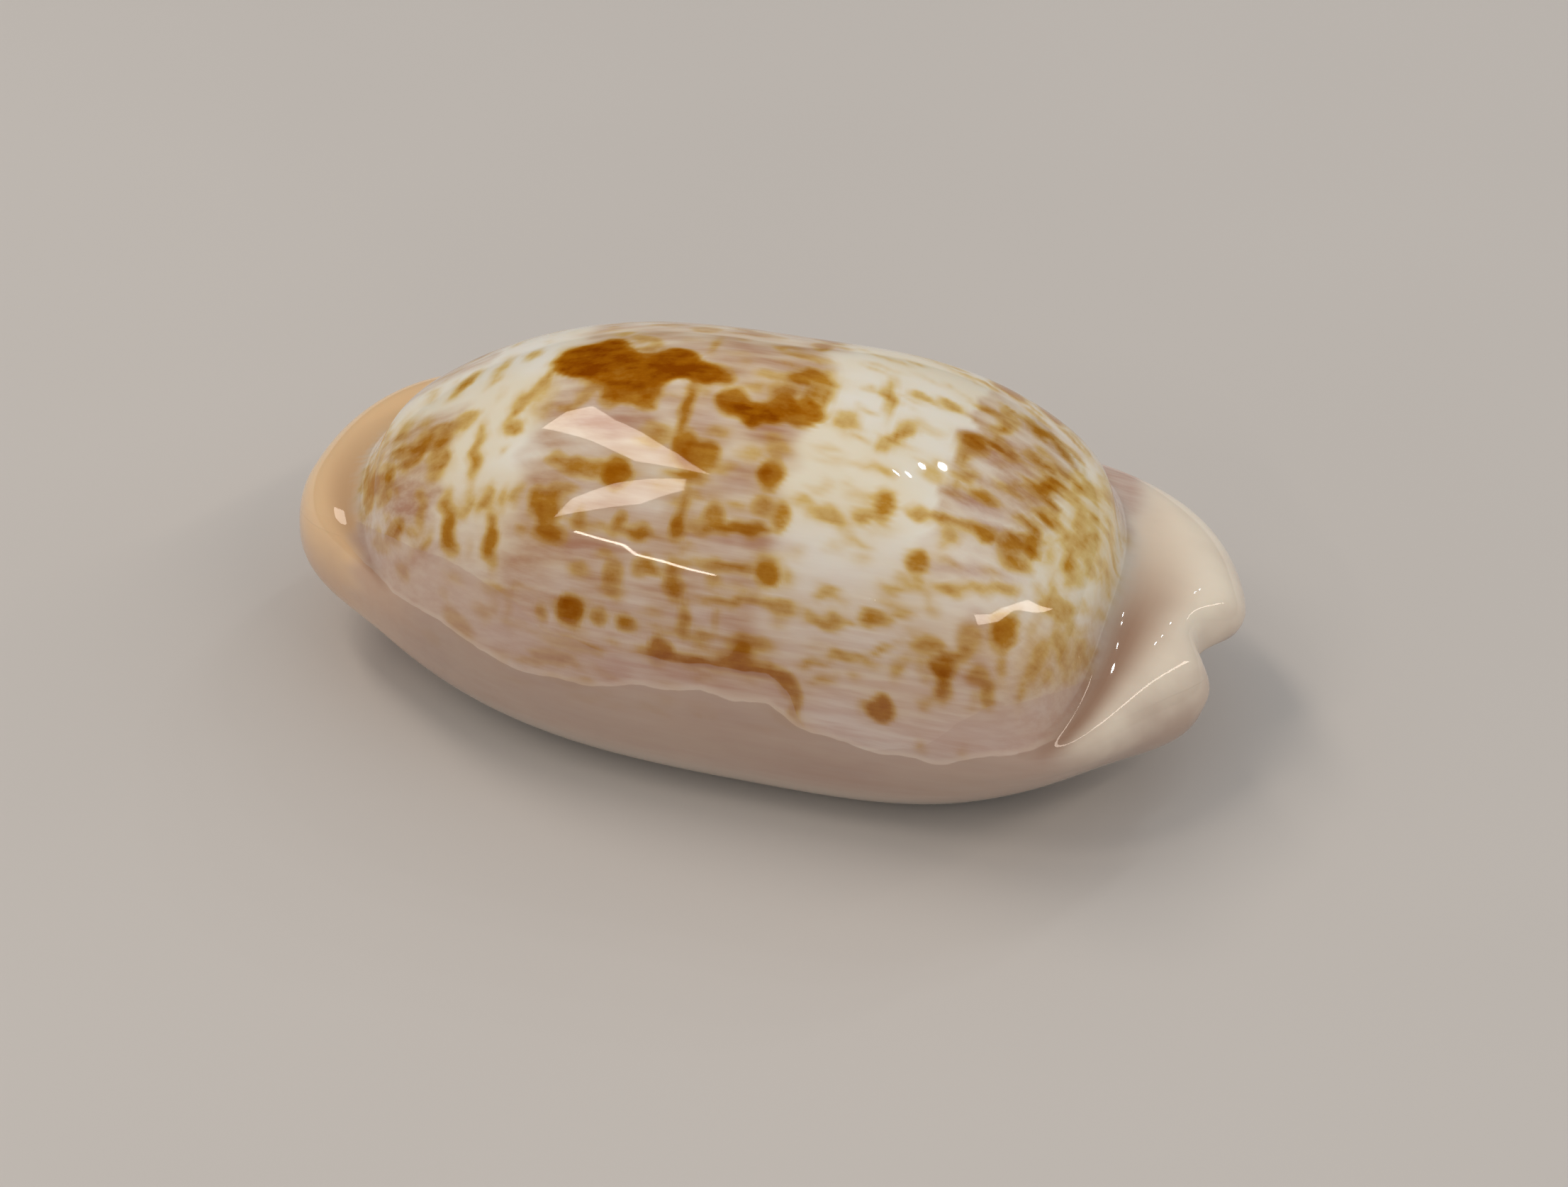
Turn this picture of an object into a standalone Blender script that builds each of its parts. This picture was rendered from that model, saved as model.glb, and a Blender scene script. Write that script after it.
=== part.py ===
"""One cowrie shell, grown as a single piece and resting on its toothed base.

The surface is lofted through closed rings.  They start at the summit of the back, pass the
creases and collars of both ends and the rim, cross the base, go in through the toothed slit
and run up the inside of the hollow to its roof.  Lengths are in millimetres until the mesh
is written, which is in metres.  +X is the rear end, +Y the outer lip, +Z the back.
"""
from dataclasses import dataclass

import bmesh
import bpy
import numpy as np

MM = 0.001
ORIGIN = (-0.596, 0.276)       # the middle of the shell's box, which becomes the origin in plan

# Body: the smooth back, an ovoid whose plan is a blunt oval
HEIGHT = 12.95                  # base to summit
SUMMIT_X = -1.0                 # the summit sits a little forward of the middle
REACH_REAR, REACH_FRONT = 12.5, 15.3
HALF_LIP, HALF_COLUMELLA = 7.9, 8.0
EGG = 0.12                      # how much broader the rear half is than the front half
PLAN_BLUNT = (4.2, 3.8, 3.6, 8.0)   # of the back's quarters, from rear lip round to rear columella
RISE_POWER = (1.8, 2.05)        # roundness of the back seen from the end and the side
EQUATOR = (4.0, 4.55, 4.0, 4.5)     # height of the widest level: rear, lip, front, columella
CREASE_AT = (73.0, 78.0, 71.0, 86.0)    # degrees down from the summit, same four sides
CREASE_DEPTH = (0.30, 0.05, 0.26, 0.0)
BACK_BEND = (-0.55, 0.15)       # sideways sweep of the back toward the rear and front ends
WALL = 1.25                     # thickness of the back

# Base and slit
BEND = (-0.4, 0.3)              # sideways sweep of the rear and front ends
SLIT_SIDE = 0.8                 # the slit lies this far toward the outer lip at mid length
LOBE_STEP = (-21.0, -33.0)      # degrees from the tips where the columella lobes end
STEP_WIDTH = 4.0
SAG_AT, SAG_WIDTH = -20.0, 15.0     # degrees, where the rear columella lobe hangs lower
LOBE_DROP = 0.45                # the rear columella lobe stops this much short of the lip lobe
LOBE_BLEND = 2.0                # degrees over which it does so
NOTCH_WIDTH = (7.0, 6.0)        # degrees, rear and front
FLAT_CUT = 0.12                 # the base is worn flat by this much where it rests
TEETH_PER_QUARTER = 14.5
TEETH_END = 0.86                # share of the half length that carries teeth

# Mesh density
QUARTER = 58                    # columns in a quarter turn, four to a tooth


@dataclass(frozen=True)
class Ring:
    """One closed ring of the base: reaches along X, half breadths, heights and notch points."""
    reach: tuple        # rear lobe, rear columella flank, front lobe, front columella flank
    half: tuple         # lip side, columella side
    height: tuple       # rear, lip, front, columella
    rear_notch: tuple   # x and z at the bottom of the rear notch
    front_notch: tuple  # x and z at the bottom of the front notch
    rise: float = 2.0   # how late the ring rises toward the ends
    wide: float = 1.0   # breadth of both notches on this ring
    square: float = 1.0 # below 1 the ring keeps its breadth toward the ends
    slit: float = 0.0   # 1 where the ring follows the slit, 0 where it follows the body
    egg: float = EGG
    tooth: tuple = (0.0, 0.0)   # tooth height on the lip side and on the columella side
    sag: float = 0.0    # how much lower the rear columella lobe hangs than the rear lip lobe
    blunt: tuple = (2.5, 2.5, 2.5, 2.5)     # of its quarters, from rear lip round to rear columella


RINGS = (
    Ring((13.9, 13.0, 15.75, 15.0), (8.1, 7.98), (6.3, 5.7, 6.4, 4.6), (13.8, 6.15), (-15.75, 6.4),
         sag=0.2, blunt=(4.6, 9.0, 3.6, 7.6)),
    Ring((15.1, 13.9, 16.4, 15.4), (8.45, 7.93), (5.8, 5.0, 5.65, 4.0), (14.15, 5.7), (-16.4, 5.65),
         sag=0.5, blunt=(4.4, 9.0, 3.35, 5.8)),
    Ring((15.7, 14.4, 16.65, 15.5), (8.6, 7.74), (5.0, 4.2, 4.6, 3.3), (14.3, 5.1), (-16.65, 4.6),
         sag=0.8, blunt=(3.8, 8.0, 3.1, 4.2)),
    Ring((15.6, 14.1, 16.6, 15.2), (8.25, 7.3), (4.4, 2.6, 3.8, 2.2), (14.3, 4.7), (-16.5, 4.0),
         rise=3.0, wide=1.2, sag=1.0, blunt=(3.2, 6.0, 2.8, 3.0)),
    Ring((15.0, 13.3, 15.85, 14.3), (7.3, 6.1), (4.1, 0.9, 3.1, 0.9), (14.2, 4.7), (-15.8, 3.8),
         rise=3.5, wide=1.4, sag=1.1, blunt=(2.8, 4.2, 2.6, 2.6)),
    Ring((14.3, 12.7, 15.1, 13.3), (5.8, 4.8), (3.4, 0.0, 2.4, 0.0), (14.1, 4.5), (-15.2, 3.7),
         rise=4.0, wide=1.4, slit=0.2, sag=0.9),
    Ring((13.8, 12.5, 14.7, 12.9), (4.4, 3.5), (2.8, 0.0, 2.0, 0.0), (13.9, 4.3), (-14.9, 3.5),
         rise=4.0, wide=1.3, square=0.9, slit=0.5, egg=0.06, sag=0.6),
    Ring((13.4, 12.3, 14.2, 12.6), (2.5, 1.8), (2.5, 0.28, 1.8, 0.28), (13.7, 4.1), (-14.6, 3.3),
         rise=4.0, wide=1.2, square=0.7, slit=0.85, egg=-0.05, tooth=(0.16, 0.12), sag=0.3),
    Ring((13.0, 12.0, 13.8, 12.3), (0.8, 0.7), (2.6, 0.65, 1.9, 0.65), (13.4, 3.9), (-14.2, 3.1),
         rise=4.0, square=0.4, slit=1.0, egg=-0.25, tooth=(0.26, 0.24)),
    Ring((12.2, 11.7, 12.9, 12.0), (0.85, 0.8), (3.1, 1.9, 2.6, 2.0), (12.6, 3.8), (-13.3, 3.1),
         rise=3.0, square=0.45, slit=1.0, egg=-0.2, tooth=(0.08, 0.16)),
    Ring((11.2, 11.0, 12.2, 11.7), (3.4, 2.6), (3.5, 2.4, 3.1, 3.3), (11.5, 3.9), (-12.5, 3.3),
         square=0.8, slit=0.6, egg=0.0),
)

BACK_LEVELS = 7                         # rings from the summit to the crease
HOLLOW_LEVELS = (78.0, 54.0, 28.0)      # degrees down from the roof of the hollow


def signed_power(value, power):
    """Raise the size of a value to a power and keep its sign."""
    return np.sign(value) * np.abs(value) ** power


def turn_angles(blunt):
    """Angles of the columns around a ring, spaced to keep the same X on every ring.

    Each column's bluntness and its distance from the middle of its side come with them.
    """
    share = np.arange(4 * QUARTER) / QUARTER
    quarter = np.floor(share + 1e-9)
    along = share - quarter
    rising = quarter % 2 == 0
    from_middle = np.where(rising, 1.0 - along, along)
    power = np.array(blunt)[quarter.astype(int)]
    away = 0.5 * np.pi * from_middle ** (power / 2.0)
    middle = np.where(quarter < 2, 0.5 * np.pi, 1.5 * np.pi)
    return np.where(rising, middle - away, middle + away), power, from_middle


def by_side(angle, values, rise=2.0):
    """Blend four values given for the rear, lip, front and columella sides."""
    rear, lip, front, columella = values
    across, side = np.cos(angle), np.sin(angle)
    end_share = np.abs(across) ** rise
    return (np.where(across > 0, rear, front) * end_share
            + np.where(side > 0, lip, columella) * (1.0 - end_share))


def sweep(x, bend):
    """Sideways sweep of a midline toward the rear and the front end."""
    share = np.clip(x / 16.0, -1.1, 1.1)
    return np.where(share > 0, bend[0], bend[1]) * np.abs(share) ** 3


def bump(angle, centre, width):
    """A smooth bump around one angle, both in radians."""
    gap = (angle - centre + np.pi) % (2.0 * np.pi) - np.pi
    return np.exp(-(gap / width) ** 2)


def back_ring(level, inset=0.0, crease=0.0):
    """Ring of the back at a level in radians down from the summit, moved inward by inset."""
    angle, power, _ = turn_angles(PLAN_BLUNT)
    across, side = np.cos(angle), np.sin(angle)
    drop = level if np.ndim(level) else np.full_like(angle, level)
    reach = np.where(across > 0, REACH_REAR, REACH_FRONT) - inset
    breadth = np.where(side > 0, HALF_LIP, HALF_COLUMELLA) - inset
    plan_x = reach * signed_power(across, 2.0 / power)
    plan_y = breadth * side * (1.0 + EGG * across) + sweep(plan_x, BACK_BEND)
    out = np.abs(np.sin(drop)) ** (2.0 / RISE_POWER[0])
    up = np.abs(np.cos(drop)) ** (2.0 / RISE_POWER[1])
    equator = by_side(angle, EQUATOR)
    dip = crease * by_side(angle, CREASE_DEPTH)
    x = SUMMIT_X + (plan_x - SUMMIT_X) * out - dip * across
    y = plan_y * out - dip * side
    z = equator + (HEIGHT - inset - equator) * up - 0.6 * dip
    return np.stack([x, y, z], axis=1)


def lobe_reach(angle, reach):
    """Reach along X: the end lobes, falling to the flank on the columella side."""
    rear_gap = (angle + np.pi) % (2.0 * np.pi) - np.pi
    front_gap = np.pi - angle
    at_rear = np.cos(angle) > 0
    gap = np.degrees(np.where(at_rear, rear_gap, front_gap))
    start = np.where(at_rear, LOBE_STEP[0], LOBE_STEP[1])
    share = 1.0 / (1.0 + np.exp(-(gap - start) / STEP_WIDTH))
    rear_lobe = reach[0] - LOBE_DROP / (1.0 + np.exp(gap / LOBE_BLEND))
    lobe = np.where(at_rear, rear_lobe, reach[2])
    flank = np.where(at_rear, reach[1], reach[3])
    return flank + (lobe - flank) * share


def base_ring(ring):
    """Ring of the collars, rim, base and slit."""
    angle, power, from_middle = turn_angles(ring.blunt)
    across, side = np.cos(angle), np.sin(angle)
    x = lobe_reach(angle, ring.reach) * signed_power(across, 2.0 / power)
    breadth = np.where(side > 0, ring.half[0], ring.half[1]) * (1.0 + ring.egg * across)
    y = breadth * signed_power(side, ring.square) + sweep(x, BEND)
    y = y + ring.slit * SLIT_SIDE * np.clip(1.0 - (x / 14.5) ** 2, 0.0, 1.0)
    z = by_side(angle, ring.height, ring.rise)
    ends = ((0.0, NOTCH_WIDTH[0], ring.rear_notch, ring.reach[0] - 0.5 * LOBE_DROP, ring.height[0]),
            (np.pi, NOTCH_WIDTH[1], ring.front_notch, -ring.reach[2], ring.height[2]))
    for centre, width, (notch_x, notch_z), tip_x, tip_z in ends:
        share = bump(angle, centre, np.radians(width * ring.wide))
        x = x + (notch_x - tip_x) * share
        z = z + (notch_z - tip_z) * share
    z = z - ring.sag * bump(angle, np.radians(SAG_AT), np.radians(SAG_WIDTH))
    tooth = tooth_wave(from_middle, side) * np.where(side > 0, ring.tooth[0], ring.tooth[1])
    y = y - np.sign(side) * 0.8 * tooth
    z = z - 0.6 * tooth
    if ring.height[1] < 1.0:
        z = np.maximum(z - FLAT_CUT * np.abs(side) ** 2, 0.0)
    return np.stack([x, y, z], axis=1)


def tooth_wave(from_middle, side):
    """Ridges across both lips, half a tooth out of step, fading toward the ends."""
    phase = 2.0 * np.pi * TEETH_PER_QUARTER * from_middle + np.where(side > 0, 0.0, np.pi)
    fade = np.clip((TEETH_END - from_middle) / 0.06, 0.0, 1.0)
    return np.cos(phase) * fade


def shell_rows():
    """All rows of the surface, from the summit of the back to the roof of the hollow."""
    angle, _, _ = turn_angles(PLAN_BLUNT)
    crease = np.radians(by_side(angle, CREASE_AT))
    rows = [back_ring(crease * step / BACK_LEVELS) for step in range(BACK_LEVELS)]
    rows.append(back_ring(crease, crease=1.0))
    rows += [base_ring(ring) for ring in RINGS]
    rows += [back_ring(np.radians(level), inset=WALL) for level in HOLLOW_LEVELS]
    rows.append(back_ring(0.0, inset=WALL))
    return np.array(rows) - np.array([ORIGIN[0], ORIGIN[1], 0.0])


def build_shell():
    """Make a sphere of the right size and move each of its vertices onto the shell."""
    rows = shell_rows()
    last, columns = len(rows) - 1, 4 * QUARTER
    grid = bmesh.new()
    bmesh.ops.create_uvsphere(grid, u_segments=columns, v_segments=last, radius=1.0)
    for vertex in grid.verts:
        x, y, z = vertex.co
        row = round(np.arccos(np.clip(z, -1.0, 1.0)) / np.pi * last)
        column = round(np.arctan2(y, x) / (2.0 * np.pi) * columns) % columns
        vertex.co = rows[row, column] * MM
    bmesh.ops.triangulate(grid, faces=grid.faces)
    mesh = bpy.data.meshes.new("shell")
    grid.to_mesh(mesh)
    grid.free()
    mesh.shade_smooth()
    mesh.set_sharp_from_angle(angle=np.radians(70.0))
    return mesh


def glaze():
    """Cream porcelain-like glaze of the shell."""
    material = bpy.data.materials.new("shell_glaze")
    material.use_nodes = True
    shader = material.node_tree.nodes["Principled BSDF"]
    shader.inputs["Base Color"].default_value = (0.72, 0.60, 0.45, 1.0)
    shader.inputs["Roughness"].default_value = 0.18
    return material


def main():
    """Clear the scene and add the one piece."""
    for item in list(bpy.data.objects):
        bpy.data.objects.remove(item)
    shell = bpy.data.objects.new("shell", build_shell())
    shell.data.materials.append(glaze())
    bpy.context.scene.collection.objects.link(shell)


main()
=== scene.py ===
"""Looks of a spotted cowrie shell: its fine glazed surface, its markings and a plain studio.

Lengths are in millimetres until a mesh or an object is written, which is in metres.  +X is the
rear end, +Y the outer lip, +Z the back.  A place on the back is given by two numbers: how far it
lies along the shell, and how far round it from the middle of the back, which is positive toward
the columella side.
"""
import logging
import math
from collections.abc import Iterable
from dataclasses import dataclass, field
from enum import Enum

import bmesh
import bpy
import numpy as np
from mathutils import Matrix, Vector


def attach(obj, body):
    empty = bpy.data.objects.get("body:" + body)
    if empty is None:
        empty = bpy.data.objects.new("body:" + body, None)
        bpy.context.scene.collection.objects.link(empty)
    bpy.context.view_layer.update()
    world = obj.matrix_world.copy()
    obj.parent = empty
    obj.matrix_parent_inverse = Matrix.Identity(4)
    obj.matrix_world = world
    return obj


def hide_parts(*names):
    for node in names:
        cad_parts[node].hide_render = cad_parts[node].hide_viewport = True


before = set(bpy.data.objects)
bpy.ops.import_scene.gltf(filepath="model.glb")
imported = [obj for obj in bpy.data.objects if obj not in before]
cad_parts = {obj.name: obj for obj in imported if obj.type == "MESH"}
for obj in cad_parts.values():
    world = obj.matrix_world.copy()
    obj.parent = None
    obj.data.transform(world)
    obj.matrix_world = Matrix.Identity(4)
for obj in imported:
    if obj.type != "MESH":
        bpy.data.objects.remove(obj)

MM = 0.001
NOISE_SPAN = (0.3, 0.7)     # where most values of a noise lie
log = logging.getLogger("cowrie")


class Layer(Enum):
    """The layers of colour that the surface carries, painted shade and a painted reflection strip among
    them, by the name of their attribute.
    """

    PIGMENT = "pigment"
    # mauve of the markings, with painted shade that darkens the lower flanks
    MAUVE_AND_SHADE = "mauve"
    COLLAR = "collar"
    # painted reflection strip along the lower flank: distance past its upper edge, in millimetres
    REFLECTION_STRIP = "reflection_strip"           # distance past the edge of the thin veil, in millimetres
    CALLUS = "callus"       # distance past the edge of the callus, in millimetres
    TINT = "tint"
    # painted shade that darkens the creases behind the collars
    SHADE = "shade"
    INSIDE = "inside"


@dataclass(frozen=True)
class Ring:
    """One closed ring of the base: reaches along X, half breadths, heights and notch points."""

    reach: tuple        # rear lobe, rear columella flank, front lobe, front columella flank
    half: tuple         # lip side, columella side
    height: tuple       # rear, lip, front, columella
    rear_notch: tuple   # x and z at the bottom of the rear notch
    front_notch: tuple  # x and z at the bottom of the front notch
    rise: float = 2.0   # how late the ring rises toward the ends
    wide: float = 1.0   # breadth of both notches on this ring
    square: float = 1.0  # below 1 the ring keeps its breadth toward the ends
    slit: float = 0.0   # 1 where the ring follows the slit, 0 where it follows the body
    egg: float = 0.12   # how much broader the rear half is than the front half
    tooth: tuple = (0.0, 0.0)   # tooth height on the lip side and on the columella side
    sag: float = 0.0    # how much lower the rear columella lobe hangs than the rear lip lobe
    blunt: tuple = (2.5, 2.5, 2.5, 2.5)     # of its quarters, from rear lip round to rear columella


RINGS = (
    Ring((13.9, 13.0, 15.75, 15.0), (8.1, 7.98), (6.3, 5.7, 6.4, 4.6), (13.8, 6.15), (-15.75, 6.4),
         sag=0.2, blunt=(4.6, 9.0, 3.6, 7.6)),
    Ring((15.1, 13.9, 16.4, 15.4), (8.45, 7.93), (5.8, 5.0, 5.65, 4.0), (14.15, 5.7), (-16.4, 5.65),
         sag=0.5, blunt=(4.4, 9.0, 3.35, 5.8)),
    Ring((15.7, 14.4, 16.65, 15.5), (8.6, 7.74), (5.0, 4.2, 4.6, 3.3), (14.3, 5.1), (-16.65, 4.6),
         sag=0.8, blunt=(3.8, 8.0, 3.1, 4.2)),
    Ring((15.6, 14.1, 16.6, 15.2), (8.25, 7.3), (4.4, 2.6, 3.8, 2.2), (14.3, 4.7), (-16.5, 4.0),
         rise=3.0, wide=1.2, sag=1.0, blunt=(3.2, 6.0, 2.8, 3.0)),
    Ring((15.0, 13.3, 15.85, 14.3), (7.3, 6.1), (4.1, 0.9, 3.1, 0.9), (14.2, 4.7), (-15.8, 3.8),
         rise=3.5, wide=1.4, sag=1.1, blunt=(2.8, 4.2, 2.6, 2.6)),
    Ring((14.3, 12.7, 15.1, 13.3), (5.8, 4.8), (3.4, 0.0, 2.4, 0.0), (14.1, 4.5), (-15.2, 3.7),
         rise=4.0, wide=1.4, slit=0.2, sag=0.9),
    Ring((13.8, 12.5, 14.7, 12.9), (4.4, 3.5), (2.8, 0.0, 2.0, 0.0), (13.9, 4.3), (-14.9, 3.5),
         rise=4.0, wide=1.3, square=0.9, slit=0.5, egg=0.06, sag=0.6),
    Ring((13.4, 12.3, 14.2, 12.6), (2.5, 1.8), (2.5, 0.28, 1.8, 0.28), (13.7, 4.1), (-14.6, 3.3),
         rise=4.0, wide=1.2, square=0.7, slit=0.85, egg=-0.05, tooth=(0.16, 0.12), sag=0.3),
    Ring((13.0, 12.0, 13.8, 12.3), (0.8, 0.7), (2.6, 0.65, 1.9, 0.65), (13.4, 3.9), (-14.2, 3.1),
         rise=4.0, square=0.4, slit=1.0, egg=-0.25, tooth=(0.26, 0.24)),
    Ring((12.2, 11.7, 12.9, 12.0), (0.85, 0.8), (3.1, 1.9, 2.6, 2.0), (12.6, 3.8), (-13.3, 3.1),
         rise=3.0, square=0.45, slit=1.0, egg=-0.2, tooth=(0.08, 0.16)),
    Ring((11.2, 11.0, 12.2, 11.7), (3.4, 2.6), (3.5, 2.4, 3.1, 3.3), (11.5, 3.9), (-12.5, 3.3),
         square=0.8, slit=0.6, egg=0.0),
)


def signed_power(value: np.ndarray, power: float) -> np.ndarray:
    """Raise the size of a value to a power and keep its sign.

    Args:
        value: The values.
        power: The power that their sizes are raised to.

    Returns:
        Values of the same signs.
    """
    return np.sign(value) * np.abs(value) ** power


def smooth(low: float, high: float, value: np.ndarray) -> np.ndarray:
    """Rise smoothly from 0 at low to 1 at high; a high below low makes it fall.

    Args:
        low: Where the result is 0.
        high: Where the result is 1.
        value: The values to map.

    Returns:
        Values from 0 to 1.
    """
    share = np.clip((value - low) / (high - low), 0.0, 1.0)
    return share * share * (3.0 - 2.0 * share)


@dataclass
class ShellForm:
    """The shell's surface, a loft through closed rings from the summit to the hollow's roof."""

    origin: tuple = (-0.596, 0.276)     # middle of the shell's box, moved to the origin in plan
    height: float = 12.95
    summit_x: float = -1.0
    reach_rear: float = 12.5
    reach_front: float = 15.3
    half_lip: float = 7.9
    half_columella: float = 8.0
    egg: float = 0.12
    plan_blunt: tuple = (4.2, 3.8, 3.6, 8.0)
    rise_power: tuple = (1.8, 2.05)
    equator: tuple = (4.0, 4.55, 4.0, 4.5)
    crease_at: tuple = (73.0, 78.0, 71.0, 86.0)
    crease_depth: tuple = (0.30, 0.05, 0.26, 0.0)
    wall: float = 1.25
    bend: tuple = (-0.4, 0.3)
    back_bend: tuple = (-0.55, 0.15)
    bend_reach: float = 16.0            # where the bend is full
    slit_side: float = 0.8
    slit_reach: float = 14.5
    lobe_step: tuple = (-21.0, -33.0)
    step_width: float = 4.0
    sag_at: float = -20.0
    sag_width: float = 15.0
    lobe_drop: float = 0.45             # how much shorter the rear columella lobe is
    lobe_blend: float = 2.0
    notch_width: tuple = (7.0, 6.0)
    flat_cut: float = 0.12
    teeth_per_quarter: float = 14.5
    teeth_end: float = 0.86
    teeth_fade: float = 0.06
    tooth_lean: tuple = (0.8, 0.6)      # share of a tooth's height that points inward, and down
    back_levels: int = 7
    hollow_levels: tuple = (78.0, 54.0, 28.0)
    quarter: int = 138                  # columns in a quarter turn
    steps: tuple = (11,) * 7 + (8, 6, 6, 8, 7, 5, 5, 7, 6, 5, 4, 3, 3, 3, 3)

    def turn_angles(self, blunt: tuple) -> tuple:
        """Angles of the columns round a ring, spaced to keep the same X on every ring.

        Args:
            blunt: Bluntness of the ring's quarters seen from above.

        Returns:
            The angles, each column's bluntness, and its distance from the middle of its side, 0 to 1.
        """
        share = np.arange(4 * self.quarter) / self.quarter
        quarter = np.floor(share + 1e-9)
        along = share - quarter
        rising = quarter % 2 == 0
        from_middle = np.where(rising, 1.0 - along, along)
        power = np.array(blunt)[quarter.astype(int)]
        away = 0.5 * np.pi * from_middle ** (power / 2.0)
        middle = np.where(quarter < 2, 0.5 * np.pi, 1.5 * np.pi)
        return np.where(rising, middle - away, middle + away), power, from_middle

    def by_side(self, angle: np.ndarray, values: tuple, rise: float = 2.0) -> np.ndarray:
        """Blend four values given for the rear, lip, front and columella sides.

        Args:
            angle: Angles round the ring.
            values: The four values.
            rise: How late the values of the ends take over.

        Returns:
            One value for each angle.
        """
        rear, lip, front, columella = values
        across, side = np.cos(angle), np.sin(angle)
        end_share = np.abs(across) ** rise
        return (np.where(across > 0, rear, front) * end_share
                + np.where(side > 0, lip, columella) * (1.0 - end_share))

    def sweep(self, x: np.ndarray, bend: tuple) -> np.ndarray:
        """Sideways sweep of a midline toward the rear and the front end."""
        share = np.clip(x / self.bend_reach, -1.1, 1.1)
        return np.where(share > 0, bend[0], bend[1]) * np.abs(share) ** 3

    def back_ring(self, level: np.ndarray, inset: float = 0.0, crease: float = 0.0) -> np.ndarray:
        """One ring of the back.

        Args:
            level: How far down from the summit it lies, in radians, one or many.
            inset: How far it lies inside the outer surface.
            crease: Share of the full depth of the crease.

        Returns:
            Its points.
        """
        angle, power, _ = self.turn_angles(self.plan_blunt)
        across, side = np.cos(angle), np.sin(angle)
        drop = level if np.ndim(level) else np.full_like(angle, level)
        reach = np.where(across > 0, self.reach_rear, self.reach_front) - inset
        breadth = np.where(side > 0, self.half_lip, self.half_columella) - inset
        plan_x = reach * signed_power(across, 2.0 / power)
        plan_y = breadth * side * (1.0 + self.egg * across)
        plan_y = plan_y + self.sweep(plan_x, self.back_bend)
        out = np.abs(np.sin(drop)) ** (2.0 / self.rise_power[0])
        up = np.abs(np.cos(drop)) ** (2.0 / self.rise_power[1])
        equator = self.by_side(angle, self.equator)
        dip = crease * self.by_side(angle, self.crease_depth)
        x = self.summit_x + (plan_x - self.summit_x) * out - dip * across
        y = plan_y * out - dip * side
        z = equator + (self.height - inset - equator) * up - 0.6 * dip
        return np.stack([x, y, z], axis=1)

    def lobe_reach(self, angle: np.ndarray, reach: tuple) -> np.ndarray:
        """Reach along X: the end lobes, falling to the flank on the columella side.

        Args:
            angle: Angles round the ring.
            reach: The ring's four reaches.

        Returns:
            One reach for each angle.
        """
        rear_gap = (angle + np.pi) % (2.0 * np.pi) - np.pi
        at_rear = np.cos(angle) > 0
        gap = np.degrees(np.where(at_rear, rear_gap, np.pi - angle))
        start = np.where(at_rear, self.lobe_step[0], self.lobe_step[1])
        share = 1.0 / (1.0 + np.exp(-(gap - start) / self.step_width))
        rear_lobe = reach[0] - self.lobe_drop / (1.0 + np.exp(gap / self.lobe_blend))
        lobe = np.where(at_rear, rear_lobe, reach[2])
        flank = np.where(at_rear, reach[1], reach[3])
        return flank + (lobe - flank) * share

    def tooth_wave(self, from_middle: np.ndarray, side: np.ndarray) -> np.ndarray:
        """Ridges across both lips, half a tooth out of step, fading toward the ends.

        Args:
            from_middle: Each column's distance from the middle of its side.
            side: Above 0 on the lip side.

        Returns:
            The wave, from -1 to 1.
        """
        shift = np.where(side > 0, 0.0, np.pi)
        fade = np.clip((self.teeth_end - from_middle) / self.teeth_fade, 0.0, 1.0)
        return np.cos(2.0 * np.pi * self.teeth_per_quarter * from_middle + shift) * fade

    def base_ring(self, ring: Ring) -> np.ndarray:
        """One ring of the collars, rim, base and slit.

        Args:
            ring: Its sizes.

        Returns:
            Its points.
        """
        angle, power, from_middle = self.turn_angles(ring.blunt)
        across, side = np.cos(angle), np.sin(angle)
        x = self.lobe_reach(angle, ring.reach) * signed_power(across, 2.0 / power)
        breadth = np.where(side > 0, ring.half[0], ring.half[1]) * (1.0 + ring.egg * across)
        y = breadth * signed_power(side, ring.square) + self.sweep(x, self.bend)
        y = y + ring.slit * self.slit_side * np.clip(1.0 - (x / self.slit_reach) ** 2, 0.0, 1.0)
        z = self.by_side(angle, ring.height, ring.rise)
        rear_tip = ring.reach[0] - 0.5 * self.lobe_drop
        ends = ((0.0, self.notch_width[0], ring.rear_notch, rear_tip, ring.height[0]),
                (np.pi, self.notch_width[1], ring.front_notch, -ring.reach[2], ring.height[2]))
        for centre, width, (notch_x, notch_z), tip_x, tip_z in ends:
            share = self.bump(angle, centre, np.radians(width * ring.wide))
            x = x + (notch_x - tip_x) * share
            z = z + (notch_z - tip_z) * share
        z = z - ring.sag * self.bump(angle, np.radians(self.sag_at), np.radians(self.sag_width))
        size = np.where(side > 0, ring.tooth[0], ring.tooth[1])
        tooth = self.tooth_wave(from_middle, side) * size
        y = y - np.sign(side) * self.tooth_lean[0] * tooth
        z = z - self.tooth_lean[1] * tooth
        if ring.height[1] < 1.0:
            z = np.maximum(z - self.flat_cut * np.abs(side) ** 2, 0.0)
        return np.stack([x, y, z], axis=1)

    @staticmethod
    def bump(angle: np.ndarray, centre: float, width: float) -> np.ndarray:
        """A smooth bump round one angle, all in radians."""
        gap = (angle - centre + np.pi) % (2.0 * np.pi) - np.pi
        return np.exp(-(gap / width) ** 2)

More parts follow.
